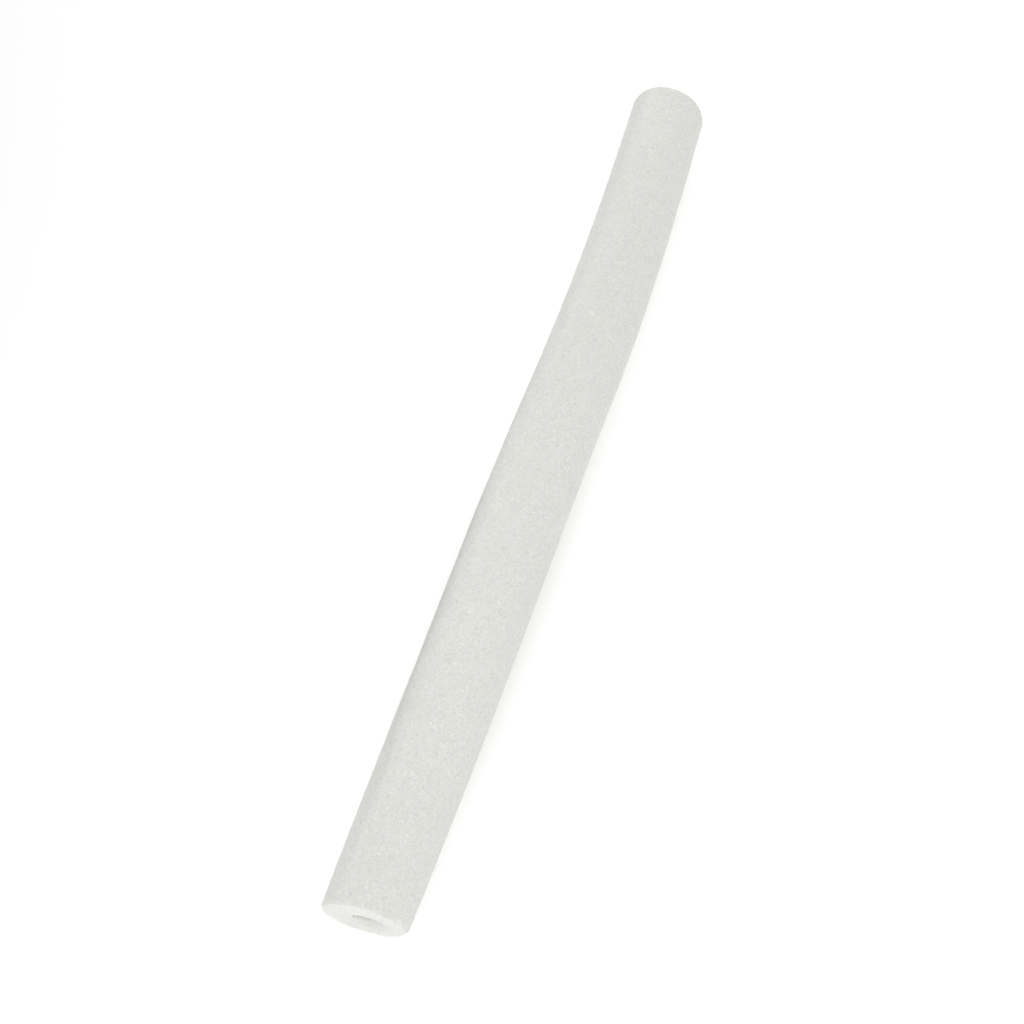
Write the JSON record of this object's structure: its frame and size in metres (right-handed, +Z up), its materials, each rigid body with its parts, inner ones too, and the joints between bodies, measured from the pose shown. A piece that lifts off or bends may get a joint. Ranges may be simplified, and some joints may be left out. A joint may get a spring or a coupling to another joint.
{
  "type": "foam roller",
  "caption": "Slender hollow tube of closed-cell foam with a round bore right through it, a slight bend along its length and softly rounded cut ends.",
  "frame": {"origin": "on the ground under the middle of the tube's footprint", "axes": "+X along the tube towards its first end, +Z up from the ground, the bend lying in the XY plane"},
  "size_m": [0.8016, 0.0774, 0.07],
  "materials": {
    "pe_foam": "matt closed-cell foam with fine visible cells"
  },
  "bodies": {
    "root": {"foam_tube": "pe_foam"}
  },
  "joints": []
}
